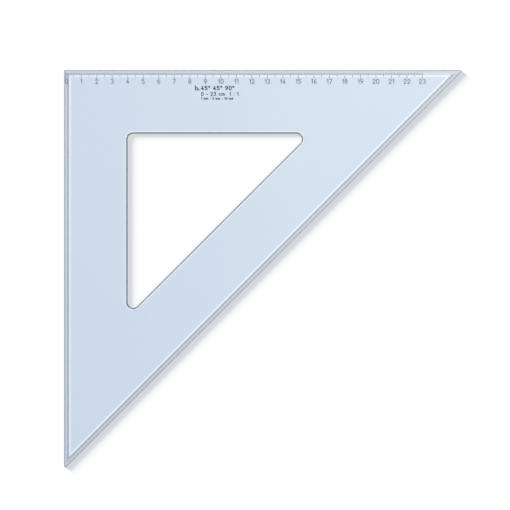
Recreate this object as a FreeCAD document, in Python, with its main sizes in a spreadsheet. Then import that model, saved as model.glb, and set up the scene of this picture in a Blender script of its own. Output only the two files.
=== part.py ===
import FreeCAD, Part
import math
import os

import Sketcher

# Transparent 45-degree drafting set square, 36 cm along its hypotenuse, with a printed centimetre scale.
#
# The object is one moulded plate. All three drawing edges end in a thin guide lip, from which a slope rises
# to the full thickness, and a triangular window with rounded corners runs through the middle. The underside
# is flat, and the scale is stamped into it, so that it touches the paper and is read through the plate.
# Each kind of print is a group of thin solids that lie flush in stamped recesses of the plate.
#
# Frame: millimetres, origin at the right-angle corner of the guide edges in the plane of the underside,
# +X along the graduated leg, -Y along the plain leg, +Z up through the plate.

Vector = FreeCAD.Vector

# alias, value in millimetres (or a plain count), meaning
DIMENSIONS = (
    ("leg_length", 257.3, "right-angle corner to the sharp 45-degree corner, for 360 between the tips"),
    ("tip_radius", 0.8, "rounding of the two 45-degree tips, in plan"),
    ("corner_radius", 0.3, "rounding of the right-angle corner, in plan"),
    ("plate_thickness", 2.2, "full thickness of the plate"),
    ("lip_height", 1.9, "thickness of the guide lip"),
    ("lip_width", 2.0, "guide edge to the foot of the slope"),
    ("lip_edge_radius", 0.15, "rounding of the lip's two long edges"),
    ("slope_width", 1.3, "foot of the slope to its head, in plan"),
    ("band_width", 41.0, "guide edge to the wall of the window, the same on all three sides"),
    ("window_corner_radius", 3.55, "rounding of the window's corners, in plan"),
    ("window_rim_radius", 1.0, "rounding of the window's upper and lower rims"),
    ("print_depth", 0.05, "depth of the stamped print"),
    ("scale_zero", 1.0, "plain guide edge to the zero of the scale"),
    ("scale_top", 1.85, "graduated guide edge to the start of every tick"),
    ("scale_centimetres", 23, "last whole centimetre of the scale"),
    ("centimetre", 10, "spacing of the centimetre ticks"),
    ("tick_width", 0.18, "line width of every tick"),
    ("millimetre_tick", 1.4, "length of a millimetre tick"),
    ("half_tick", 2.55, "length of a half-centimetre tick"),
    ("centimetre_tick", 3.6, "length of a centimetre tick"),
    ("numeral_top", 5.75, "graduated guide edge to the top of the numerals"),
    ("numeral_height", 3.0, "height of the numerals"),
    ("numeral_line", 0.27, "line width of the numerals"),
    ("zero_numeral_shift", 0.7, "shift of the 0 to the right, which keeps it clear of the plain edge"),
    ("mark_left", 84.4, "plain guide edge to the set-square sign"),
    ("mark_text_left", 88.5, "plain guide edge to the three lines of figures beside and under the sign"),
    ("angle_line_top", 10.1, "graduated guide edge to the top of the line of angles"),
    ("angle_line_height", 2.8, "height of the line of angles"),
    ("angle_line_stroke", 0.48, "line width of the angles"),
    ("range_line_top", 14.1, "graduated guide edge to the top of the line that gives the scale's range"),
    ("range_line_height", 2.5, "height of the line of the range"),
    ("range_line_stroke", 0.34, "line width of the range"),
    ("tick_line_top", 17.5, "graduated guide edge to the top of the line that explains the ticks"),
    ("tick_line_height", 1.5, "height of the line that explains the ticks"),
    ("tick_line_stroke", 0.28, "line width of the line that explains the ticks"),
)

# Each glyph is a list of strokes on a body one unit high, with the width that it takes up. A stroke is its
# first point, then one entry for each run: ("to", x, y) is straight, ("by", x, y, x, y) is an arc through the
# first point to the second.
GLYPHS = {
    "0": (0.56, [[(0.0, 0.5), ("to", 0.0, 0.72), ("by", 0.28, 1.0, 0.56, 0.72), ("to", 0.56, 0.5)],
                 [(0.56, 0.5), ("to", 0.56, 0.28), ("by", 0.28, 0.0, 0.0, 0.28), ("to", 0.0, 0.5)]]),
    "1": (0.28, [[(0.0, 0.76), ("to", 0.26, 1.0), ("to", 0.26, 0.0)]]),
    "2": (0.56, [[(0.0, 0.72), ("by", 0.28, 1.0, 0.52, 0.58), ("to", 0.0, 0.0), ("to", 0.56, 0.0)]]),
    "3": (0.54, [[(0.04, 0.86), ("by", 0.47, 0.66, 0.24, 0.54)],
                 [(0.24, 0.54), ("by", 0.49, 0.12, 0.0, 0.14)]]),
    "4": (0.58, [[(0.38, 1.0), ("to", 0.0, 0.26), ("to", 0.58, 0.26)], [(0.42, 0.52), ("to", 0.42, 0.0)]]),
    "5": (0.56, [[(0.5, 1.0), ("to", 0.06, 1.0), ("to", 0.03, 0.55), ("by", 0.5, 0.12, 0.0, 0.12)]]),
    "6": (0.56, [[(0.44, 1.0), ("by", 0.09, 0.63, 0.0, 0.28)],
                 [(0.0, 0.28), ("by", 0.28, 0.56, 0.56, 0.28)],
                 [(0.56, 0.28), ("by", 0.28, 0.0, 0.0, 0.28)]]),
    "7": (0.56, [[(0.0, 1.0), ("to", 0.56, 1.0), ("to", 0.17, 0.0)]]),
    "8": (0.54, [[(0.05, 0.765), ("by", 0.27, 1.0, 0.49, 0.765)],
                 [(0.49, 0.765), ("by", 0.27, 0.54, 0.05, 0.765)],
                 [(0.0, 0.27), ("by", 0.27, 0.54, 0.54, 0.27)],
                 [(0.54, 0.27), ("by", 0.27, 0.0, 0.0, 0.27)]]),
    "9": (0.56, [[(0.12, 0.0), ("by", 0.47, 0.37, 0.56, 0.72)],
                 [(0.0, 0.72), ("by", 0.28, 1.0, 0.56, 0.72)],
                 [(0.56, 0.72), ("by", 0.28, 0.44, 0.0, 0.72)]]),
    "°": (0.32, [[(0.0, 0.84), ("by", 0.16, 1.0, 0.32, 0.84)],
                 [(0.32, 0.84), ("by", 0.16, 0.68, 0.0, 0.84)]]),
    "-": (0.36, [[(0.0, 0.42), ("to", 0.36, 0.42)]]),
    ":": (0.06, [[(0.03, 0.62), ("to", 0.03, 0.66)], [(0.03, 0.1), ("to", 0.03, 0.14)]]),
    "c": (0.46, [[(0.46, 0.6), ("by", 0.0, 0.35, 0.46, 0.1)]]),
    "m": (0.8, [[(0.0, 0.7), ("to", 0.0, 0.0)],
                [(0.0, 0.5), ("by", 0.2, 0.7, 0.4, 0.5), ("to", 0.4, 0.0)],
                [(0.4, 0.5), ("by", 0.6, 0.7, 0.8, 0.5), ("to", 0.8, 0.0)]]),
    " ": (0.2, []),
}
PIECES = {":": 2}  # the glyphs whose strokes lie apart, with their number of solids
GLYPH_GAP = 0.22  # clear space between two glyphs, as a share of their height

NEAR = 1e-3  # how close to a guide edge or to the window counts as on it
FLAT = 1e-6  # how much a level or an upright edge may lean

doc = FreeCAD.newDocument("SetSquare")
sheet = doc.addObject("Spreadsheet::Sheet", "Dimensions")
for row, (alias, value, meaning) in enumerate(DIMENSIONS, 1):
    sheet.set(f"A{row}", alias)
    sheet.set(f"B{row}", str(value))
    sheet.setAlias(f"B{row}", alias)
    sheet.set(f"C{row}", meaning)
doc.recompute()


def size(alias):
    """The value of one driving dimension."""
    return float(getattr(sheet, alias))


def bound(expression):
    """An expression over the sheet's aliases, with each alias pointed at the sheet."""
    words = expression.split(" ")
    aliases = {alias for alias, _, _ in DIMENSIONS}
    return " ".join(f"Dimensions.{word}" if word in aliases else word for word in words)


# A triangle of the set square's form, moved inward from every side by one distance, has legs this much
# shorter for each millimetre of that distance.
INSET_SHARE = "( 2 + sqrt(2) )"


def inset_leg(inset):
    """The leg of the guide triangle moved inward by an expression."""
    return f"leg_length - {INSET_SHARE} * {inset}"


def inset_of(point):
    """How far a point lies inside the nearest of the three guide edges."""
    to_hypotenuse = (size("leg_length") - point.x + point.y) / math.sqrt(2)
    return min(point.x, -point.y, to_hypotenuse)


def add_body(name):
    """A body whose label names its node."""
    body = doc.addObject("PartDesign::Body", name)
    body.Label = name
    return body


def add_sketch(body, name, height=None):
    """A sketch on the body's XY plane, raised by an expression if one is given."""
    sketch = body.newObject("Sketcher::SketchObject", name)
    plane = next(item for item in body.Origin.OriginFeatures if item.Role == "XY_Plane")
    sketch.AttachmentSupport = [(plane, "")]
    sketch.MapMode = "FlatFace"
    if height:
        sketch.setExpression("AttachmentOffset.Base.z", bound(height))
    return sketch


def drive(sketch, name, expression, *constraint):
    """Adds one named distance to a sketch and binds it to the sheet."""
    index = sketch.addConstraint(Sketcher.Constraint(*constraint, 1.0))
    sketch.renameConstraint(index, name)
    sketch.setExpression(f"Constraints.{name}", bound(expression))


def add_outline(sketch, points):
    """A closed outline of straight lines, and the number of its first line."""
    first = sketch.GeometryCount
    count = len(points)
    for index in range(count):
        sketch.addGeometry(Part.LineSegment(points[index], points[(index + 1) % count]), False)
    for index in range(count):
        following = first + (index + 1) % count
        sketch.addConstraint(Sketcher.Constraint("Coincident", first + index, 2, following, 1))
    return first


def add_triangle(sketch, inset):
    """The guide triangle moved inward by a dimension, or the guide triangle itself if there is none."""
    near = size(inset) if inset else 0.0
    far = size("leg_length") - (1 + math.sqrt(2)) * near
    corners = [Vector(near, -near, 0), Vector(far, -near, 0), Vector(near, -far, 0)]
    top = add_outline(sketch, corners)
    left = top + 2
    sketch.addConstraint(Sketcher.Constraint("Horizontal", top))
    sketch.addConstraint(Sketcher.Constraint("Vertical", left))
    if inset:
        drive(sketch, "from_left", inset, "DistanceX", -1, 1, top, 1)
        drive(sketch, "from_top", inset, "DistanceY", top, 1, -1, 1)
    else:
        sketch.addConstraint(Sketcher.Constraint("Coincident", top, 1, -1, 1))
    leg = inset_leg(inset) if inset else "leg_length"
    drive(sketch, "top_leg", leg, "DistanceX", top, 1, top, 2)
    drive(sketch, "left_leg", leg, "DistanceY", left, 1, left, 2)


def add_tick(sketch, name, centre, length):
    """A tick's rectangle, hanging from the scale's top line, its centre line at an expression."""
    start = size("scale_zero") + sketch.GeometryCount
    end = start + size("tick_width")
    head = -size("scale_top")
    foot = head - size("millimetre_tick")
    corners = [Vector(start, head, 0), Vector(end, head, 0), Vector(end, foot, 0), Vector(start, foot, 0)]
    top = add_outline(sketch, corners)
    right, bottom, left = top + 1, top + 2, top + 3
    for kind, line in (("Horizontal", top), ("Vertical", right), ("Horizontal", bottom), ("Vertical", left)):
        sketch.addConstraint(Sketcher.Constraint(kind, line))
    drive(sketch, f"{name}_left", f"{centre} - tick_width / 2", "DistanceX", -1, 1, top, 1)
    drive(sketch, f"{name}_top", "scale_top", "DistanceY", top, 1, -1, 1)
    drive(sketch, f"{name}_width", "tick_width", "DistanceX", top, 1, top, 2)
    drive(sketch, f"{name}_length", length, "DistanceY", left, 1, left, 2)


def add_pad(body, sketch, name, length, taper=None):
    """A pad upward from a sketch, its sides leaning inward by the taper, if any."""
    pad = body.newObject("PartDesign::Pad", name)
    pad.Profile = sketch
    pad.setExpression("Length", bound(length))
    if taper:
        pad.setExpression("TaperAngle", bound(taper))
    doc.recompute()
    return pad


def add_fillet(body, name, radius, chosen):
    """Rounds those edges of the body so far for which the chosen function holds."""
    base = body.Tip
    names = [f"Edge{number}" for number, edge in enumerate(base.Shape.Edges, 1) if chosen(edge)]
    fillet = body.newObject("PartDesign::Fillet", name)
    fillet.Base = (base, names)
    fillet.setExpression("Radius", bound(radius))
    doc.recompute()


def is_upright(edge):
    """Whether an edge is straight up and down."""
    low, high = edge.BoundBox.ZMin, edge.BoundBox.ZMax
    return edge.BoundBox.XLength < FLAT and edge.BoundBox.YLength < FLAT and high - low > NEAR


def is_level(edge):
    """Whether an edge lies in one horizontal plane."""
    return edge.BoundBox.ZLength < FLAT


def at_guide_edge(edge):
    """Whether an edge runs along the outside of the plate."""
    return all(inset_of(vertex.Point) < NEAR for vertex in edge.Vertexes)


def at_window(edge):
    """Whether an edge belongs to the window."""
    return all(inset_of(vertex.Point) > size("band_width") - NEAR for vertex in edge.Vertexes)


def at_right_angle(edge):
    """Whether an edge is at the right-angle corner."""
    return edge.Vertexes[0].Point.x < NEAR and edge.Vertexes[0].Point.y > -NEAR


def is_window_corner(edge):
    """Whether an edge is one of the window's upright corners."""
    return is_upright(edge) and at_window(edge)


def is_window_rim(edge):
    """Whether an edge is part of the window's upper or lower rim."""
    return is_level(edge) and at_window(edge)


def is_tip(edge):
    """Whether an edge is one of the lip's upright edges at the 45-degree tips."""
    return is_upright(edge) and at_guide_edge(edge) and not at_right_angle(edge)


def is_corner(edge):
    """Whether an edge is the lip's upright edge at the right-angle corner."""
    return is_upright(edge) and at_guide_edge(edge) and at_right_angle(edge)


def is_lip_edge(edge):
    """Whether an edge is part of the lip's upper or lower outline."""
    return is_level(edge) and at_guide_edge(edge)


def make_plate_blank():
    """The moulded plate before its print is stamped: lip, sloped crown, window and every rounding."""
    body = add_body("plate_blank")
    lip_sketch = add_sketch(body, "LipOutline")
    add_triangle(lip_sketch, None)
    add_pad(body, lip_sketch, "Lip", "lip_height")

    crown_sketch = add_sketch(body, "CrownOutline", "lip_height")
    add_triangle(crown_sketch, "lip_width")
    rise = "( plate_thickness - lip_height )"
    add_pad(body, crown_sketch, "Crown", rise, f"-1 * atan( slope_width / {rise} )")

    add_fillet(body, "Tips", "tip_radius", is_tip)
    add_fillet(body, "RightAngleCorner", "corner_radius", is_corner)

    solid_volume = body.Tip.Shape.Volume
    window_sketch = add_sketch(body, "WindowOutline")
    add_triangle(window_sketch, "band_width")
    window = body.newObject("PartDesign::Pocket", "Window")
    window.Profile = window_sketch
    window.Type = "ThroughAll"
    window.Reversed = True
    doc.recompute()
    assert window.Shape.Volume < solid_volume, "the window cuts nothing"

    add_fillet(body, "WindowCorners", "window_corner_radius", is_window_corner)
    add_fillet(body, "WindowRims", "window_rim_radius", is_window_rim)
    add_fillet(body, "LipEdges", "lip_edge_radius", is_lip_edge)
    return body


def make_ticks(name, length, offsets, occurrences):
    """One kind of tick: the ticks of one centimetre, repeated along the graduated leg."""
    body = add_body(name)
    sketch = add_sketch(body, f"{name}_outline")
    for offset in offsets:
        add_tick(sketch, f"tick{offset}", f"scale_zero + {offset} * centimetre / 10", length)
    pad = add_pad(body, sketch, f"{name}_pad", "print_depth")
    pattern = body.newObject("PartDesign::LinearPattern", f"{name}_row")
    pattern.Originals = [pad]
    x_axis = next(item for item in body.Origin.OriginFeatures if item.Role == "X_Axis")
    pattern.Direction = (x_axis, [""])
    pattern.Mode = "Spacing"
    pattern.setExpression("Offset", bound("centimetre"))
    pattern.setExpression("Occurrences", bound(occurrences))
    body.Tip = pattern
    doc.recompute()
    return body


def place(point, height):
    """A point of a glyph in the plane of the underside, for a glyph of the given height."""
    return Vector(point[0] * height, point[1] * height, 0)


def straight_line_face(start, end, width):
    """The face of one straight stroke, with round ends."""
    along = (end - start).normalize() * (width / 2)
    across = Vector(-along.y, along.x, 0)
    edges = [
        Part.makeLine(start + across, end + across),
        Part.Arc(end + across, end + along, end - across).toShape(),
        Part.makeLine(end - across, start - across),
        Part.Arc(start - across, start - along, start + across).toShape(),
    ]
    return Part.Face(Part.Wire(edges))


def stroke_face(stroke, height, width):
    """The face that a pen of the given width covers along one stroke of a glyph."""
    start = place(stroke[0], height)
    edges = []
    for kind, *numbers in stroke[1:]:
        end = place(numbers[-2:], height)
        if kind == "to":
            edges.append(Part.makeLine(start, end))
        else:
            edges.append(Part.Arc(start, place(numbers[:2], height), end).toShape())
        last, start = start, end
    if len(edges) == 1 and stroke[1][0] == "to":
        return straight_line_face(last, start, width)
    return Part.Wire(edges).makeOffset2D(width / 2, join=0, fill=True, openResult=False)


def text_width(text, height, width):
    """The length of a line of glyphs, from the centre line of its first stroke to that of its last."""
    glyphs = sum(GLYPHS[letter][0] for letter in text) * height
    return glyphs + (len(text) - 1) * (GLYPH_GAP * height + width)


def text_solids(text, left, top, height, width):
    """The solids of a line of glyphs, whose top and left are centre lines of strokes."""
    solids = []
    x = left
    for letter in text:
        advance, strokes = GLYPHS[letter]
        if strokes:
            rise = Vector(0, 0, size("print_depth"))
            parts = [stroke_face(stroke, height, width).extrude(rise) for stroke in strokes]
            glyph = parts[0].fuse(parts[1:]).removeSplitter() if len(parts) > 1 else parts[0]
            glyph.translate(Vector(x, -top - height, 0))
            assert len(glyph.Solids) == PIECES.get(letter, 1), f"{letter} is in {len(glyph.Solids)} pieces"
            solids.extend(glyph.Solids)
        x += (advance + GLYPH_GAP) * height + width
    return solids


def add_print(name, solids):
    """A node of printed solids."""
    feature = doc.addObject("Part::Feature", name)
    feature.Label = name
    feature.Shape = Part.makeCompound(solids)
    feature.Placement = FreeCAD.Placement()
    return feature


def make_numerals():
    """The numerals of the scale, each centred under its centimetre tick."""
    line = size("numeral_line")
    height = size("numeral_height") - line
    top = size("numeral_top") + line / 2
    solids = []
    for number in range(int(size("scale_centimetres")) + 1):
        text = str(number)
        centre = size("scale_zero") + number * size("centimetre")
        if number == 0:
            centre += size("zero_numeral_shift")
        solids += text_solids(text, centre - text_width(text, height, line) / 2, top, height, line)
    return add_print("scale_numerals", solids)


def make_angle_mark():
    """A small set-square sign and the three angles of the plate."""
    line = size("angle_line_stroke")
    height = size("angle_line_height") - line
    top = size("angle_line_top") + line / 2
    corner = Vector(size("mark_left") + line / 2, -top - height, 0)
    foot, peak = corner + Vector(height, 0, 0), corner + Vector(0, height, 0)
    triangle = Part.Wire(Part.makePolygon([corner, foot, peak, corner]))
    outside = Part.Face(triangle.makeOffset2D(line / 2, join=2))
    inside = Part.Face(triangle.makeOffset2D(-line / 2, join=2))
    sign = outside.cut(inside).extrude(Vector(0, 0, size("print_depth")))
    figures = text_solids("45° 45° 90°", size("mark_text_left"), top, height, line)
    return add_print("angle_mark", sign.Solids + figures)


def make_unit_mark():
    """Two lines of figures: the range and units of the scale, and what its ticks count."""
    lines = (
        ("range_line", f"0 - {int(size('scale_centimetres'))} cm  1 : 1"),
        ("tick_line", "1 mm - 5 mm - 10 mm"),
    )
    solids = []
    for prefix, text in lines:
        line = size(f"{prefix}_stroke")
        height = size(f"{prefix}_height") - line
        top = size(f"{prefix}_top") + line / 2
        solids += text_solids(text, size("mark_text_left"), top, height, line)
    return add_print("unit_mark", solids)


def make_plate(blank, prints):
    """The plate with a recess stamped into its underside for every piece of print."""
    dies = doc.addObject("Part::Compound", "stamping_dies")
    dies.Links = prints
    plate = doc.addObject("Part::Cut", "plate")
    plate.Label = "plate"
    plate.Base = blank
    plate.Tool = dies
    doc.recompute()
    return plate


def check_and_write(nodes):
    """Stops on any failed object or bad shape, then writes each node to its own file."""
    for item in doc.Objects:
        assert not {"Invalid", "Error"} & set(item.State), f"{item.Name} failed: {item.State}"
    for node in nodes:
        shape = node.Shape
        assert not shape.isNull() and shape.isValid() and shape.Solids, f"{node.Label} has a bad shape"
        print(f"{node.Label}: {len(shape.Solids)} solids, {shape.Volume:.2f} mm3, {shape.BoundBox}")
    os.makedirs("parts", exist_ok=True)
    for node in nodes:
        node.Shape.exportStep(f"parts/{node.Label}.step")


plate_blank = make_plate_blank()
printed = [
    make_ticks("millimetre_ticks", "millimetre_tick", (1, 2, 3, 4, 6, 7, 8, 9), "scale_centimetres"),
    make_ticks("half_centimetre_ticks", "half_tick", (5,), "scale_centimetres"),
    make_ticks("centimetre_ticks", "centimetre_tick", (0,), "scale_centimetres + 1"),
    make_numerals(),
    make_angle_mark(),
    make_unit_mark(),
]
doc.recompute()
check_and_write([make_plate(plate_blank, printed)] + printed)
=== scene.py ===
"""A clear drafting set square with a stamped scale, lying on a pale table under soft studio light.

The moulded plate is built here as one closed skin with its lips, slopes and rounded rims, and takes the
place of the frame's plain plate. The stamped print is the frame's own, with an ink finish.
"""

import logging
import math
from dataclasses import dataclass
from enum import Enum
from typing import ClassVar, Iterable, Mapping

import bmesh
import bpy
from mathutils import Matrix, Vector


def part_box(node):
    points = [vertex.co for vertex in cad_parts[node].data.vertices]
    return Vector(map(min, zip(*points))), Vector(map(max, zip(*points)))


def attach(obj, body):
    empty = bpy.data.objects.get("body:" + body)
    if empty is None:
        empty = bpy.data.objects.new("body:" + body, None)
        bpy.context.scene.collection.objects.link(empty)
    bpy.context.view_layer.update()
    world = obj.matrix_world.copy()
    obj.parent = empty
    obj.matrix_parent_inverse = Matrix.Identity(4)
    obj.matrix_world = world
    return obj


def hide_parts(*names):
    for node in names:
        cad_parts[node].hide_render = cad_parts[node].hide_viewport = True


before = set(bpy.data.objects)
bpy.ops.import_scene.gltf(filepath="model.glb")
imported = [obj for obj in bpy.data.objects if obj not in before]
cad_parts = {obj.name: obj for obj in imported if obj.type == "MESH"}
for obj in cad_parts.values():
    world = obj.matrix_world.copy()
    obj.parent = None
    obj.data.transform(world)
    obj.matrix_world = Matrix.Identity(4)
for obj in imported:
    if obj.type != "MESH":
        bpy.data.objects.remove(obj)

LOG = logging.getLogger("set_square")
MM = 0.001
KEY_TURN = 144.5  # where the key light comes from, in degrees from +X
LEE_LEAN = -0.005  # a normal this far from the key light is on the lee side; a flat face's never is
FLAT_RIM = 0.95  # a lit rim's face whose normal points up this far takes the painted highlight of the pale line
SCALE_SIDE = -0.004  # lips and slopes above this Y, in metres, are the scale's side, which takes a lighter painted shade
SHARP_FOLD = 30.0  # an edge that folds further than this is shaded sharp, in degrees
Colour = tuple[float, float, float]
THROUGH: Colour = (0.93, 0.945, 0.955)  # the key light passes nearly whole
HELD: Colour = (0.05, 0.05, 0.05)  # the window's lee side holds most of it
VEILED: Colour = (0.02, 0.02, 0.02)  # the guide edge's lee side holds nearly all of it


# ---------------------------------------------------------------------------------------------------------
# Shader tools


class Signal:
    """A number that changes over a surface: an output socket that takes part in Python sums."""

    def __init__(self, bench: "Bench", socket: bpy.types.NodeSocket) -> None:
        """Wraps an output socket of the bench's material."""
        self.bench = bench
        self.socket = socket

    def _join(self, operation: str, *terms: "Signal | float") -> "Signal":
        """Adds one Math node.

        Args:
            operation: The Math node's operation.
            terms: Its inputs, in order.

        Returns:
            The node's result.
        """
        return self.bench.add("ShaderNodeMath", {"operation": operation}, dict(enumerate(terms)))

    def __add__(self, other: "Signal | float") -> "Signal":
        """The sum of both."""
        return self._join("ADD", self, other)

    __radd__ = __add__

    def __sub__(self, other: "Signal | float") -> "Signal":
        """This less the other."""
        return self._join("SUBTRACT", self, other)

    def __rsub__(self, other: "Signal | float") -> "Signal":
        """The other less this."""
        return self._join("SUBTRACT", other, self)

    def __mul__(self, other: "Signal | float") -> "Signal":
        """The product of both."""
        return self._join("MULTIPLY", self, other)

    __rmul__ = __mul__

    def over(self, edge: float, reach: float) -> "Signal":
        """A soft step from 0 to 1 as this rises through an edge.

        Args:
            edge: Where the step begins.
            reach: How far the step takes to reach 1.

        Returns:
            The step, clamped between 0 and 1.
        """
        settings = {"interpolation_type": "SMOOTHSTEP", "clamp": True}
        return self.bench.add("ShaderNodeMapRange", settings, {0: self, 1: edge, 2: edge + reach})


class Bench:
    """The nodes of one material while it is being made."""

    def __init__(self, name: str) -> None:
        """Starts an empty material.

        Args:
            name: The material's name.
        """
        self.material = bpy.data.materials.new(name)
        self.material.use_nodes = True
        self.tree = self.material.node_tree
        self.tree.nodes.clear()

    def node(
        self, kind: str, settings: Mapping[str, object] | None = None, inputs: Mapping | None = None
    ) -> bpy.types.Node:
        """Adds one node.

        Args:
            kind: The node's type.
            settings: Its own properties, which are set first.
            inputs: The value or link of each input, by its name or number.

        Returns:
            The new node.
        """
        made = self.tree.nodes.new(kind)
        for name, value in (settings or {}).items():
            setattr(made, name, value)
        for key, value in (inputs or {}).items():
            slot = made.inputs[key]
            if isinstance(value, Signal):
                self.tree.links.new(value.socket, slot)
            elif isinstance(value, bpy.types.NodeSocket):
                self.tree.links.new(value, slot)
            elif isinstance(value, (tuple, list)) and slot.type == "RGBA":
                slot.default_value = (*value[:3], 1.0)
            else:
                slot.default_value = value
        return made

    def add(
        self,
        kind: str,
        settings: Mapping[str, object] | None = None,
        inputs: Mapping | None = None,
        output: str | int = 0,
    ) -> Signal:
        """Adds one node and hands on one of its outputs.

        Args:
            kind: The node's type.
            settings: Its own properties, which are set first.
            inputs: The value or link of each input, by its name or number.
            output: The output that is handed on, by its name or number.

        Returns:
            The output.
        """
        return Signal(self, self.node(kind, settings, inputs).outputs[output])

    def place(self, scale: tuple[float, float, float] = (1, 1, 1), turn: float = 0.0) -> Signal:
        """Object coordinates, scaled and turned about the vertical.

        Args:
            scale: Pattern scale along each axis, per metre.
            turn: Turn about the vertical, in degrees.

        Returns:
            The coordinates.
        """
        spot = self.add("ShaderNodeTexCoord", output="Object")
        turned = {"Vector": spot, "Rotation": (0.0, 0.0, math.radians(turn))}
        flat = self.add("ShaderNodeMapping", {"vector_type": "TEXTURE"}, turned)
        return self.add("ShaderNodeMapping", {"vector_type": "POINT"}, {"Vector": flat, "Scale": scale})

    def noise(self, place: Signal, scale: float, detail: float = 2.0, rough: float = 0.5) -> Signal:
        """Smooth noise between about 0.2 and 0.8.

        Args:
            place: Where it is read.
            scale: How many waves it has per unit of the place.
            detail: How many finer layers it has.
            rough: How strongly the finer layers show, 0 to 1.

        Returns:
            The noise.
        """
        inputs = {"Vector": place, "Scale": scale, "Detail": detail, "Roughness": rough}
        return self.add("ShaderNodeTexNoise", {"noise_dimensions": "3D"}, inputs, "Fac")

    def blend(self, share: Signal, low: Colour, high: Colour) -> Signal:
        """One colour turning into another.

        Args:
            share: How far it has turned, 0 to 1.
            low: The colour at 0.
            high: The colour at 1.

        Returns:
            The mixed colour.
        """
        settings = {"data_type": "RGBA", "blend_type": "MIX"}
        return self.add("ShaderNodeMix", settings, {0: share, 6: low, 7: high}, 2)

    def bump(self, height: Signal, strength: float, depth: float) -> Signal:
        """A surface normal that follows a height.

        Args:
            height: The relief, 0 to 1.
            strength: How much of the relief shows, 0 to 1.
            depth: The relief's full depth, in metres.

        Returns:
            The normal.
        """
        inputs = {"Height": height, "Strength": strength, "Distance": depth}
        return self.add("ShaderNodeBump", None, inputs)

    def finish(self, surface: bpy.types.NodeSocket) -> bpy.types.Material:
        """Ends the material.

        Args:
            surface: The shader that it shows.

        Returns:
            The finished material.
        """
        self.node("ShaderNodeOutputMaterial", None, {"Surface": surface})
        return self.material


# ---------------------------------------------------------------------------------------------------------
# Finishes


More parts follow.
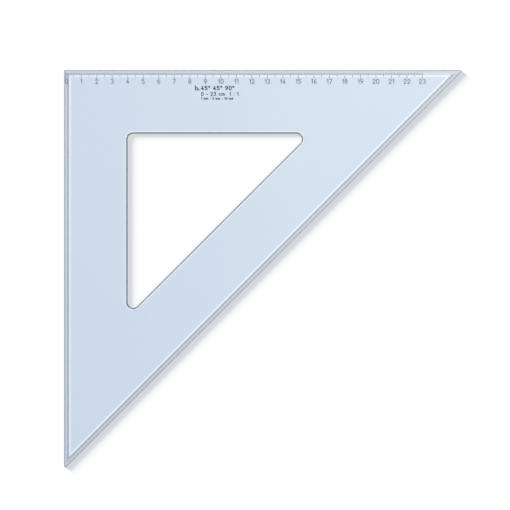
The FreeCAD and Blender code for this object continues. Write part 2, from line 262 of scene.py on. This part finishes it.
@dataclass(frozen=True)
class ClearPlastic:
    """Tinted clear plastic as it comes from the mould, with painted shade or painted highlight laid on its
    tint.

    Attributes:
        name: The material's name.
        painted_light: Factor on the plate's own colour: painted shade below 1, painted highlight above 1.
        lamp: What the key light keeps on its way through.
        gloss: Roughness of the untouched surface.
        wear: Roughness that rubbing adds at most.
        grain: Depth of the mould's fine grain, in metres.
        DEEP_SHADED_TINT: The plate's tint at the dark end of its painted shade run, toward its lower tip.
        PALE_LIT_TINT: Its tint at the pale end of that painted shade run, toward its right tip.
        ROOM: What the soft light of the room keeps on its way through.
        REFRACTION: How strongly the plastic bends light.
        SHADE_RUN_SCALE: Scale of the tint's painted shade run along each axis, per metre.
        SHADE_RUN_SHARE: Share of that painted shade run in the tint.
        CLOUD_SHARE: Share of soft clouds in it.
        SHADE_RUN_START: Where the tint stands at the right-angle corner, without clouds.
        HANDLING: Share of the wear that handling gives.
        CLOUDS: Fineness of those clouds, per metre.
        SMEARS: Fineness of the smears of handling, per metre.
        GRAINS: Fineness of the mould's grain, per metre.
        GRAIN_SHOWS: How much of the grain's depth shows, 0 to 1.
        CUT: How deep a scratch cuts, as a share of the grain's depth.
        SCRATCHED: Each set of scratches: turn in degrees, and fineness across and along, per metre.
    """

    DEEP_SHADED_TINT: ClassVar[Colour] = (0.626, 0.712, 0.817)
    PALE_LIT_TINT: ClassVar[Colour] = (0.776, 0.850, 0.935)
    ROOM: ClassVar[Colour] = (0.955, 0.970, 0.985)
    REFRACTION: ClassVar[float] = 1.49
    SHADE_RUN_SCALE: ClassVar[tuple[float, float, float]] = (4.0, 2.0, 1.0)
    SHADE_RUN_SHARE: ClassVar[float] = 0.62
    CLOUD_SHARE: ClassVar[float] = 0.24
    SHADE_RUN_START: ClassVar[float] = 0.27
    HANDLING: ClassVar[float] = 0.35
    CLOUDS: ClassVar[float] = 9.0
    SMEARS: ClassVar[float] = 55.0
    GRAINS: ClassVar[float] = 2600.0
    GRAIN_SHOWS: ClassVar[float] = 0.35
    CUT: ClassVar[float] = 0.6
    SCRATCHED: ClassVar[tuple[tuple[float, float, float], ...]] = (
        (22.0, 900.0, 11.0),
        (-47.0, 1150.0, 14.0),
        (81.0, 760.0, 9.0),
    )

    name: str
    painted_light: Colour
    lamp: Colour
    gloss: float
    wear: float
    grain: float

    def shade(self, colour: Colour) -> Colour:
        """One of the plate's own tints under this finish's painted shade or painted highlight.

        Args:
            colour: The tint.

        Returns:
            The tint that the finish shows.
        """
        return tuple(min(part * share, 1.0) for part, share in zip(colour, self.painted_light))

    def scratches(self, bench: Bench) -> Signal:
        """Draws fine, patchy scratches in three directions.

        Args:
            bench: The material that is being made.

        Returns:
            The scratches: 1 on a scratch and 0 beside it.
        """
        marks = []
        for turn, across, reach in self.SCRATCHED:
            streak = bench.noise(bench.place((reach, across, 1.0), turn), 1.0, 2.0, 0.6)
            patch = bench.noise(bench.place((60.0, 60.0, 60.0), turn), 0.35, 1.0).over(0.5, 0.15)
            marks.append(streak.over(0.69, 0.03) * patch)
        return marks[0] + marks[1] + marks[2]

    def material(self) -> bpy.types.Material:
        """Builds the plastic's material: clear for the eye, and a plain tint for the key and the room. The
        tint carries a painted shade run.

        Returns:
            The material.
        """
        bench = Bench(self.name)
        # Painted shade: the tint runs darker toward the lower tip and paler toward the right tip, with random
        # soft clouds on top.
        along = bench.node("ShaderNodeSeparateXYZ", None, {"Vector": bench.place(self.SHADE_RUN_SCALE)})
        rise = Signal(bench, along.outputs["X"]) + Signal(bench, along.outputs["Y"])
        cloud = bench.noise(bench.place(), self.CLOUDS, 2.0)
        shade_run_and_clouds = rise * self.SHADE_RUN_SHARE + cloud * self.CLOUD_SHARE + self.SHADE_RUN_START
        tint_with_painted_light = bench.blend(shade_run_and_clouds, self.shade(self.DEEP_SHADED_TINT), self.shade(self.PALE_LIT_TINT))
        scratch = self.scratches(bench)
        handling = bench.noise(bench.place(), self.SMEARS, 4.0, 0.6).over(0.45, 0.3)
        rough = self.gloss + handling * (self.HANDLING * self.wear) + scratch * self.wear
        grain = bench.noise(bench.place(), self.GRAINS, 2.0) - scratch * self.CUT
        normal = bench.bump(grain, self.GRAIN_SHOWS, self.grain)
        shell = bench.node(
            "ShaderNodeBsdfPrincipled",
            None,
            {
                "Base Color": tint_with_painted_light,
                "Roughness": rough,
                "IOR": self.REFRACTION,
                "Transmission Weight": 1.0,
                "Normal": normal,
            },
        )
        ray = bench.node("ShaderNodeLightPath").outputs
        room = bench.node("ShaderNodeBsdfTransparent", None, {"Color": self.ROOM}).outputs[0]
        lamp = bench.node("ShaderNodeBsdfTransparent", None, {"Color": self.lamp}).outputs[0]
        by_room = {0: ray["Is Diffuse Ray"], 1: shell.outputs[0], 2: room}
        soft = bench.node("ShaderNodeMixShader", None, by_room)
        by_lamp = {0: ray["Is Shadow Ray"], 1: soft.outputs[0], 2: lamp}
        both = bench.node("ShaderNodeMixShader", None, by_lamp)
        return bench.finish(both.outputs[0])


@dataclass(frozen=True)
class StampedInk:
    """Dark ink stamped into the plastic, a little uneven in its cover.

    Attributes:
        name: The material's name.
        full: Colour where the ink lies thick.
        thin: Colour where it lies thin.
        COVER: Fineness of the uneven cover, per metre.
        SPECKS: Fineness of the specks in it, per metre.
        COVER_SHARE: Share of the uneven cover in the ink's thinness.
        SPECK_SHARE: Share of the specks in it.
        RELIEF: Depth of the ink's relief, in metres.
        RELIEF_SHOWS: How much of that depth shows, 0 to 1.
        DULLNESS: Roughness where the cover is thick.
        DULLER: Roughness that a thin cover adds at most.
    """

    COVER: ClassVar[float] = 420.0
    SPECKS: ClassVar[float] = 5200.0
    COVER_SHARE: ClassVar[float] = 0.6
    SPECK_SHARE: ClassVar[float] = 0.4
    RELIEF: ClassVar[float] = 0.00002
    RELIEF_SHOWS: ClassVar[float] = 0.4
    DULLNESS: ClassVar[float] = 0.42
    DULLER: ClassVar[float] = 0.2

    name: str
    full: Colour
    thin: Colour

    def material(self) -> bpy.types.Material:
        """Builds the ink's material.

        Returns:
            The material.
        """
        bench = Bench(self.name)
        cover = bench.noise(bench.place(), self.COVER, 3.0, 0.6)
        speck = bench.noise(bench.place(), self.SPECKS, 2.0, 0.7)
        thinness = cover.over(0.35, 0.4) * self.COVER_SHARE + speck.over(0.62, 0.1) * self.SPECK_SHARE
        colour = bench.blend(thinness, self.full, self.thin)
        normal = bench.bump(speck, self.RELIEF_SHOWS, self.RELIEF)
        rough = self.DULLNESS + self.DULLER * cover
        ink = bench.node(
            "ShaderNodeBsdfPrincipled",
            None,
            {"Base Color": colour, "Roughness": rough, "Normal": normal},
        )
        return bench.finish(ink.outputs[0])


@dataclass(frozen=True)
class TableTop:
    """The plain pale table.

    Attributes:
        name: The material's name.
        colour: Its colour.
        dullness: Its roughness.
        fineness: Fineness of its tooth, per metre.
        depth: Depth of its tooth, in metres.
        shows: How much of that depth shows, 0 to 1.
    """

    name: str
    colour: Colour
    dullness: float = 0.9
    fineness: float = 700.0
    depth: float = 0.00003
    shows: float = 0.1

    def material(self) -> bpy.types.Material:
        """Builds the table's material.

        Returns:
            The material.
        """
        bench = Bench(self.name)
        tooth = bench.noise(bench.place(), self.fineness, 2.0)
        top = bench.node(
            "ShaderNodeBsdfPrincipled",
            None,
            {
                "Base Color": self.colour,
                "Roughness": self.dullness,
                "Specular IOR Level": 0.0,
                "Normal": bench.bump(tooth, self.shows, self.depth),
            },
        )
        return bench.finish(top.outputs[0])


# ---------------------------------------------------------------------------------------------------------
# The plate


class Skin(Enum):
    """The parts of the plate's skin, which differ in finish and in painted shade or painted highlight.

    A part that ends in LEE is the side of it that faces away from the key light; there the guide edge and rim
    carry darker painted shade.
    """

    FACE = 0
    LIP = 1
    SLOPE = 2
    GLOW = 3
    GUIDE = 4
    RIM = 5
    WALL = 6
    GUIDE_LEE = 7
    RIM_LEE = 8
    WALL_LEE = 9
    SCALE_LIP = 10
    SCALE_SLOPE = 11


LEE_SIDES = {Skin.GUIDE: Skin.GUIDE_LEE, Skin.RIM: Skin.RIM_LEE, Skin.WALL: Skin.WALL_LEE}
SCALE_SIDES = {Skin.LIP: Skin.SCALE_LIP, Skin.SLOPE: Skin.SCALE_SLOPE}


@dataclass
class Plate:
    """The moulded plate: guide lips, slopes, crown and window, in millimetres.

    Attributes:
        leg: Right-angle corner to the sharp 45-degree corner.
        lip_width: Guide edge to the foot of the slope.
        slope_width: Foot of the slope to its head, in plan.
        lip_height: Thickness of the lip.
        band: Guide edge to the window's wall.
        edge_round: Rounding of the lip's long edges.
        edge_shade_width: Width of the strip along the guide edge that takes the guide edge's painted shade.
        head_round: Rounding of the slope's head.
        rim_round: Rounding of the window's rims.
        head_highlight: Width of the painted highlight line beside a slope's head, on the crown and the
            underside.
        rim_highlight: Width of the painted highlight line beside the window's rim.
        window_round: Rounding of the window's corners, in plan.
        corner_rounds: Rounding of the right-angle corner and of the two tips, in plan.
        clearance: Height of the skin's underside over the frame's, which leaves the print standing clear.
        corner_steps: Segments of a corner's rounding.
        edge_steps: Segments of a long edge's rounding.
        head_steps: Segments of the rounding of a slope's head.
        window_steps: Segments of the rounding of a window's corner.
        rim_steps: Segments of the rounding of a window's rim.
        evenness: How strongly the long flats lead the shading beside them, 0 to 100.
        FACINGS: Where each corner's rounding starts in plan, in degrees.
        TURNS: How far each corner's rounding turns in plan, in degrees.
    """

    FACINGS: ClassVar[tuple[float, float, float]] = (180.0, 90.0, -45.0)
    TURNS: ClassVar[tuple[float, float, float]] = (-90.0, -135.0, -135.0)

    leg: float = 257.3
    lip_width: float = 2.0
    slope_width: float = 1.3
    lip_height: float = 1.9
    band: float = 41.0
    edge_round: float = 0.15
    edge_shade_width: float = 0.65
    head_round: float = 1.0
    rim_round: float = 1.0
    head_highlight: float = 1.1
    rim_highlight: float = 0.7
    window_round: float = 3.55
    corner_rounds: tuple[float, float, float] = (0.3, 0.8, 0.8)
    clearance: float = 0.012
    corner_steps: int = 8
    edge_steps: int = 3
    head_steps: int = 5
    window_steps: int = 16
    rim_steps: int = 6
    evenness: int = 90

    def __post_init__(self) -> None:
        """Takes the plate's full thickness from the frame and starts its skin."""
        self.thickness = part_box("plate")[1].z / MM
        self.bm = bmesh.new()

    def corners(self, inset: float, height: float) -> list[Vector]:
        """The sharp corners of the guide triangle moved inward, in millimetres.

        Args:
            inset: How far every side moves inward.
            height: Height of the triangle.

        Returns:
            The right-angle corner, the right tip and the lower tip.
        """
        far = self.leg - (1 + math.sqrt(2)) * inset
        return [Vector((inset, -inset, height)), Vector((far, -inset, height)), Vector((inset, -far, height))]

    def outline(self, inset: float, rounds: Iterable[float], steps: int, height: float) -> bmesh.types.BMFace:
        """A face in the form of the guide triangle moved inward, its corners rounded in plan.

        Args:
            inset: How far the sides move inward.
            rounds: The radius of each corner.
            steps: Segments of each corner's arc.
            height: Height of the face.

        Returns:
            The face.
        """
        ends: list[tuple] = []
        for index, radius in enumerate(rounds):
            centre = self.corners(inset + radius, height)[index]
            angle = math.radians(self.FACINGS[index])
            start = self.bm.verts.new(centre + radius * Vector((math.cos(angle), math.sin(angle), 0)))
            swept = bmesh.ops.spin(
                self.bm,
                geom=[start],
                cent=centre,
                axis=(0, 0, 1),
                angle=math.radians(self.TURNS[index]),
                steps=steps,
                use_merge=False,
                use_duplicate=False,
            )["geom_last"]
            ends.append((start, next(item for item in swept if isinstance(item, bmesh.types.BMVert))))
        for index in range(3):
            self.bm.edges.new((ends[index][1], ends[(index + 1) % 3][0]))
        loop = [edge for edge in self.bm.edges if edge.is_wire]
        return bmesh.ops.edgeloop_fill(self.bm, edges=loop)["faces"][0]

    def triangle(self, inset: float, height: float) -> bmesh.types.BMFace:
        """A face in the form of the guide triangle moved inward, with sharp corners.

        Args:
            inset: How far the sides move inward.
            height: Height of the face.

        Returns:
            The face.
        """
        face = self.bm.faces.new([self.bm.verts.new(corner) for corner in self.corners(inset, height)])
        face.normal_update()
        return face

    def step(
        self, face: bmesh.types.BMFace, inward: float, up: float, skin: Skin, mitred: bool = False
    ) -> None:
        """Insets a face, lifts it and gives the new ring its skin.

        Args:
            face: The face, which becomes the inner one.
            inward: Width of the ring, in plan.
            up: Rise of the ring; downward if negative.
            skin: The ring's skin.
            mitred: Whether the ring's corners are sharp mitres.
        """
        ring = bmesh.ops.inset_region(
            self.bm, faces=[face], thickness=inward, use_boundary=True, use_even_offset=True
        )["faces"]
        bmesh.ops.translate(self.bm, verts=list(face.verts), vec=(0, 0, up))
        for part in ring:
            part.material_index = skin.value
        if mitred:
            for edge in {edge for part in ring for edge in part.edges}:
                if all(part in ring for part in edge.link_faces):
                    edge.smooth = False

    def arc(
        self,
        face: bmesh.types.BMFace,
        radius: float,
        tilts: tuple[float, float],
        up: float,
        skin: Skin,
        steps: int,
        mitred: bool = False,
    ) -> None:
        """Insets a face in small steps that follow an arc.

        Args:
            face: The face, which ends as the innermost one.
            radius: The arc's radius.
            tilts: Steepness of the arc at its start and its end, in degrees.
            up: 1 if the arc climbs inward, -1 if it falls.
            skin: The skin of the rings.
            steps: How many rings follow the arc.
            mitred: Whether the rings' corners are sharp mitres.
        """
        tilt = [math.radians(tilts[0] + (tilts[1] - tilts[0]) * k / steps) for k in range(steps + 1)]
        for before, after in zip(tilt, tilt[1:]):
            inward = radius * abs(math.sin(before) - math.sin(after))
            rise = radius * abs(math.cos(before) - math.cos(after))
            self.step(face, inward, up * rise, skin, mitred)

    def open(self, face: bmesh.types.BMFace) -> tuple[list, list]:
        """Removes the inner face of a band of rings.

        Args:
            face: The inner face.

        Returns:
            The edges of the band's inner loop, and those of its outer loop.
        """
        inner = list(face.edges)
        bmesh.ops.delete(self.bm, geom=[face], context="FACES_ONLY")
        band, fresh = set(), {part for edge in inner for part in edge.link_faces}
        while fresh:
            band |= fresh
            fresh = {near for part in fresh for edge in part.edges for near in edge.link_faces} - band
        outer = {edge for part in band for edge in part.edges if edge.is_boundary} - set(inner)
        return inner, list(outer)

    def join(self, first: list, second: list, skin: Skin) -> None:
        """Closes the gap between two like loops with a wall.

        Args:
            first: The edges of one loop.
            second: The edges of the other.
            skin: The wall's skin.
        """
        for part in bmesh.ops.bridge_loops(self.bm, edges=first + second)["faces"]:
            part.material_index = skin.value

    def cover(self, outer: list, inner: list, skin: Skin, facing: float) -> None:
        """Closes the flat area between two loops at the same height.

        Args:
            outer: The edges of the outer loop.
            inner: The edges of the inner loop.
            skin: The area's skin.
            facing: 1 if the area faces up, -1 if it faces down.
        """
        filled = bmesh.ops.triangle_fill(
            self.bm, edges=outer + inner, use_beauty=True, normal=(0, 0, facing)
        )["geom"]
        for part in filled:
            if isinstance(part, bmesh.types.BMFace):
                part.material_index = skin.value

    def guide_edge(self) -> tuple[list, list]:
        """Builds the guide edge with both of its rounded borders.

        Returns:
            The edges of the loop around the underside, and those of the loop around the lip.
        """
        low = self.outline(0.0, self.corner_rounds, self.corner_steps, self.clearance + self.edge_round)
        self.arc(low, self.edge_round, (90.0, 0.0), -1, Skin.GUIDE, self.edge_steps)
        underside, low_edge = self.open(low)
        high = self.outline(0.0, self.corner_rounds, self.corner_steps, self.lip_height - self.edge_round)
        self.arc(high, self.edge_round, (90.0, 0.0), 1, Skin.GUIDE, self.edge_steps)
        lip, high_edge = self.open(high)
        self.join(low_edge, high_edge, Skin.GUIDE)
        return underside, lip

    def stepped_lip(self) -> tuple[list, list]:
        """Builds the lip, the slope with its rounded head, and the painted highlight line beside the head.

        Returns:
            The edges of the pale line's inner loop, and those of the lip's outer loop.
        """
        steepness = math.degrees(math.atan2(self.thickness - self.lip_height, self.slope_width))
        bend = math.radians(steepness)
        crown = self.triangle(self.edge_shade_width, self.lip_height)
        self.step(crown, self.lip_width - self.edge_shade_width, 0.0, Skin.LIP, True)
        eased = self.head_round * math.tan(bend / 2)
        run = self.slope_width - eased * math.cos(bend)
        self.step(crown, run, run * math.tan(bend), Skin.SLOPE, True)
        self.arc(crown, self.head_round, (steepness, 0.0), 1, Skin.GLOW, self.head_steps, True)
        self.step(crown, self.head_highlight, 0.0, Skin.GLOW, True)
        return self.open(crown)

    def window_mouth(self, height: float, up: float) -> tuple[list, list]:
        """Builds the window's mouth in one face: its painted highlight line and the rounded rim that leads to
        the wall.

        Args:
            height: Height of the face.
            up: -1 in the upper face, whose rim falls to the wall, and 1 in the underside, whose rim climbs.

        Returns:
            The edges of the loop at the wall, and those of the loop in the face.
        """
        flare, highlight = self.rim_round, self.rim_highlight
        rounds = [self.window_round + flare + highlight] * 3
        rim = self.outline(self.band - flare - highlight, rounds, self.window_steps, height)
        self.step(rim, highlight, 0.0, Skin.GLOW)
        self.arc(rim, flare, (0.0, 90.0), up, Skin.RIM, self.rim_steps)
        return self.open(rim)

    def sort_skins(self) -> None:
        """Tells the lee sides, the lit rims' flat part and the scale's side from the rest, for their painted
        shade or highlight.
        """
        lee = Vector((math.cos(math.radians(KEY_TURN)), math.sin(math.radians(KEY_TURN)), 0))
        for part in self.bm.faces:
            part.smooth = True
            skin = Skin(part.material_index)
            if skin in LEE_SIDES and part.normal.dot(lee) < LEE_LEAN:
                skin = LEE_SIDES[skin]
            elif skin is Skin.RIM and part.normal.z > FLAT_RIM:
                skin = Skin.GLOW
            elif skin in SCALE_SIDES and part.calc_center_median().y > SCALE_SIDE:
                skin = SCALE_SIDES[skin]
            part.material_index = skin.value

    def sharpen(self) -> None:
        """Marks the folds of the skin that are shaded sharp."""
        for edge in self.bm.edges:
            if len(edge.link_faces) == 2 and edge.calc_face_angle(0.0) > math.radians(SHARP_FOLD):
                edge.smooth = False

    def build(self) -> bpy.types.Object:
        """Builds the plate's skin and places it in the frame.

        Returns:
            The plate, not yet dressed.
        """
        underside, lip = self.guide_edge()
        head, foot = self.stepped_lip()
        self.cover(lip, foot, Skin.GUIDE, 1.0)
        wall_high, mouth_high = self.window_mouth(self.thickness, -1)
        wall_low, mouth_low = self.window_mouth(self.clearance, 1)
        self.join(wall_high, wall_low, Skin.WALL)
        self.cover(head, mouth_high, Skin.FACE, 1.0)
        belly = self.triangle(self.lip_width + self.slope_width, self.clearance)
        # The underside gets the same painted highlight line inside the slopes.
        self.step(belly, self.head_highlight, 0.0, Skin.GLOW, True)
        inside, outside = self.open(belly)
        self.cover(underside, outside, Skin.FACE, -1.0)
        self.cover(inside, mouth_low, Skin.FACE, -1.0)

        bmesh.ops.recalc_face_normals(self.bm, faces=self.bm.faces)
        bmesh.ops.scale(self.bm, vec=(MM, MM, MM), verts=self.bm.verts)
        self.sort_skins()
        self.sharpen()
        loose = [edge for edge in self.bm.edges if len(edge.link_faces) != 2]
        LOG.info("plate skin: %d faces, %d open edges", len(self.bm.faces), len(loose))
        mesh = bpy.data.meshes.new("moulded_plate")
        self.bm.to_mesh(mesh)
        self.bm.free()
        plate = bpy.data.objects.new("moulded_plate", mesh)
        bpy.context.scene.collection.objects.link(plate)
        return plate

    def dress(self, plate: bpy.types.Object) -> None:
        """Gives each part of the skin its material, with painted shade or highlight, and evens the shading of
        the long flats.

        Args:
            plate: The plate.
        """
        # Each row: name, painted light (shade below 1, highlight above 1), what the key light keeps, gloss,
        # wear, and grain in metres.
        finishes = {
            Skin.FACE: ClearPlastic("clear_face", (1.0, 1.0, 1.0), THROUGH, 0.035, 0.12, 0.000002),
            # Painted shade: the lip is darker and greyer than the broad faces.
            Skin.LIP: ClearPlastic("lip_painted_shade", (0.83, 0.74, 0.70), THROUGH, 0.05, 0.16, 0.000002),
            # Painted shade: the dark band along each slope.
            Skin.SLOPE: ClearPlastic("slope_painted_shade", (0.45, 0.42, 0.42), THROUGH, 0.06, 0.12, 0.000003),
            # Painted highlight: the pale line beside each slope's head and each lit window rim.
            Skin.GLOW: ClearPlastic("painted_highlight_line", (1.25, 1.24, 1.22), THROUGH, 0.03, 0.1, 0.000001),
            # Painted shade: the dark line along the guide edge.
            Skin.GUIDE: ClearPlastic("guide_edge", (0.345, 0.335, 0.325), THROUGH, 0.1, 0.2, 0.000003),
            # Painted shade: the dark line of the window's rim.
            Skin.RIM: ClearPlastic("window_rim", (0.27, 0.27, 0.27), THROUGH, 0.5, 0.1, 0.000001),
            # Painted shade: the window's wall.
            Skin.WALL: ClearPlastic("window_wall", (0.6, 0.6, 0.6), THROUGH, 0.15, 0.2, 0.000004),
            # Darker painted shade on the sides turned away from the key light.
            Skin.GUIDE_LEE: ClearPlastic("guide_edge_lee_painted_shade", (0.15, 0.15, 0.15), VEILED, 0.1, 0.2, 0.000003),
            Skin.RIM_LEE: ClearPlastic("window_rim_lee_painted_shade", (0.24, 0.24, 0.24), HELD, 0.06, 0.2, 0.000002),
            Skin.WALL_LEE: ClearPlastic("window_wall_lee_painted_shade", (0.6, 0.6, 0.6), HELD, 0.15, 0.2, 0.000004),
            # Lighter painted shade on the lip and slope of the scale's side.
            Skin.SCALE_LIP: ClearPlastic("scale_lip_painted_shade", (0.93, 0.87, 0.80), THROUGH, 0.04, 0.12, 0.000002),
            Skin.SCALE_SLOPE: ClearPlastic("scale_slope_painted_shade", (0.92, 0.95, 0.94), THROUGH, 0.05, 0.1, 0.000003),
        }
        for skin in Skin:
            plate.data.materials.append(finishes[skin].material())
        even = plate.modifiers.new("even_shading", "WEIGHTED_NORMAL")
        even.mode = "FACE_AREA"
        even.weight = self.evenness
        even.keep_sharp = True

    def make(self) -> None:
        """Builds, dresses and mounts the plate."""
        plate = self.build()
        self.dress(plate)
        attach(plate, "root")
        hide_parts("plate")
        LOG.info("made %s", plate.name)


# ---------------------------------------------------------------------------------------------------------
# The print


@dataclass
class Print:
    """The stamped print, which is the frame's own nodes with an ink finish.

    Attributes:
        nodes: The frame's nodes of print.
        scale_tones: The ink of the ticks and numerals, where it lies thick and where it lies thin.
        mark_tones: The ink of the marks, likewise.
    """

    nodes: tuple[str, ...] = (
        "millimetre_ticks",
        "half_centimetre_ticks",
        "centimetre_ticks",
        "scale_numerals",
        "angle_mark",
        "unit_mark",
    )
    scale_tones: tuple[Colour, Colour] = ((0.030, 0.050, 0.082), (0.065, 0.095, 0.14))
    mark_tones: tuple[Colour, Colour] = ((0.008, 0.014, 0.026), (0.025, 0.040, 0.062))

    def make(self) -> None:
        """Gives every node of print its ink, which lies thicker in the marks than in the scale."""
        scale_ink = StampedInk("scale_ink", *self.scale_tones).material()
        mark_ink = StampedInk("mark_ink", *self.mark_tones).material()
        for name in self.nodes:
            ink = mark_ink if name.endswith("mark") else scale_ink
            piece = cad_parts[name]
            if not piece.material_slots:
                piece.data.materials.append(ink)
            for slot in piece.material_slots:
                slot.material = ink
            LOG.info("dressed %s", name)


# ---------------------------------------------------------------------------------------------------------
# The studio


@dataclass
class Studio:
    """Table, lights and camera.

    Attributes:
        middle: The point of the table that the camera looks at, in metres.
        reach: Distance of the camera above the plate.
        lens: The camera's focal length, in millimetres.
        key_height: The key light's height over the horizon, in degrees.
        key_spread: The key light's width as seen from the table, in degrees.
        key_power: The key light's strength.
        key_distance: How far off the key light stands, in metres, which doesn't change a sun's light.
        key_colour: The key light's colour.
        room: Strength of the even light of the room.
        room_colour: Its colour.
        table_gap: Height of the plate over the table, in metres.
        table_colour: The table's colour.
        table_half: Half the table's width, in metres.
        sensor: Width of the camera's sensor, in millimetres.
        clip: The nearest and the farthest that the camera sees, in metres.
    """

    middle: tuple[float, float] = (0.1231, -0.1192)
    reach: float = 2.739
    lens: float = 300.0
    key_height: float = 20.0
    key_spread: float = 24.0
    key_power: float = 3.4
    key_distance: float = 3.0
    key_colour: Colour = (1.08, 1.0, 0.93)
    room: float = 0.74
    room_colour: Colour = (0.96, 1.0, 1.04)
    table_gap: float = 0.00005
    table_colour: Colour = (0.92, 0.92, 0.92)
    table_half: float = 15.0
    sensor: float = 36.0
    clip: tuple[float, float] = (0.1, 60.0)

    def table(self) -> None:
        """Lays a wide pale table under the plate."""
        bm = bmesh.new()
        bmesh.ops.create_grid(bm, x_segments=1, y_segments=1, size=self.table_half)
        bmesh.ops.translate(bm, verts=bm.verts, vec=(*self.middle, -self.table_gap))
        mesh = bpy.data.meshes.new("table_top")
        bm.to_mesh(mesh)
        bm.free()
        mesh.materials.append(TableTop("pale_table", self.table_colour).material())
        top = bpy.data.objects.new("table_top", mesh)
        bpy.context.scene.collection.objects.link(top)

    def lights(self) -> None:
        """Sets up one soft key light from the upper left and the even light of the room."""
        lamp = bpy.data.lights.new("key", "SUN")
        lamp.energy = self.key_power
        lamp.color = self.key_colour
        lamp.angle = math.radians(self.key_spread)
        key = bpy.data.objects.new("key", lamp)
        turn, height = math.radians(KEY_TURN), math.radians(self.key_height)
        toward = Vector(
            (math.cos(turn) * math.cos(height), math.sin(turn) * math.cos(height), math.sin(height))
        )
        aim = toward.to_track_quat("Z", "Y").to_matrix().to_4x4()
        key.matrix_world = Matrix.Translation(toward * self.key_distance) @ aim
        bpy.context.scene.collection.objects.link(key)
        world = bpy.data.worlds.new("room")
        world.use_nodes = True
        back = world.node_tree.nodes["Background"]
        back.inputs["Color"].default_value = (*self.room_colour, 1.0)
        back.inputs["Strength"].default_value = self.room
        bpy.context.scene.world = world

    def camera(self) -> None:
        """Hangs the camera straight above the plate, with a long lens."""
        data = bpy.data.cameras.new("camera")
        data.lens = self.lens
        data.sensor_width = self.sensor
        data.clip_start, data.clip_end = self.clip
        camera = bpy.data.objects.new("camera", data)
        camera.location = (*self.middle, self.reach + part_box("plate")[1].z)
        bpy.context.scene.collection.objects.link(camera)
        bpy.context.scene.camera = camera

    def make(self) -> None:
        """Sets up the whole studio."""
        self.camera()
        self.table()
        self.lights()
        view = bpy.context.scene.view_settings
        view.view_transform = "Standard"
        view.look = "None"
        LOG.info("made the studio")


def main() -> None:
    """Builds the set square and its studio."""
    logging.basicConfig(level=logging.INFO, format="%(name)s: %(message)s")
    bpy.context.view_layer.update()
    Studio().make()
    Plate().make()
    Print().make()
    bpy.context.view_layer.update()


if __name__ == "__main__":
    main()
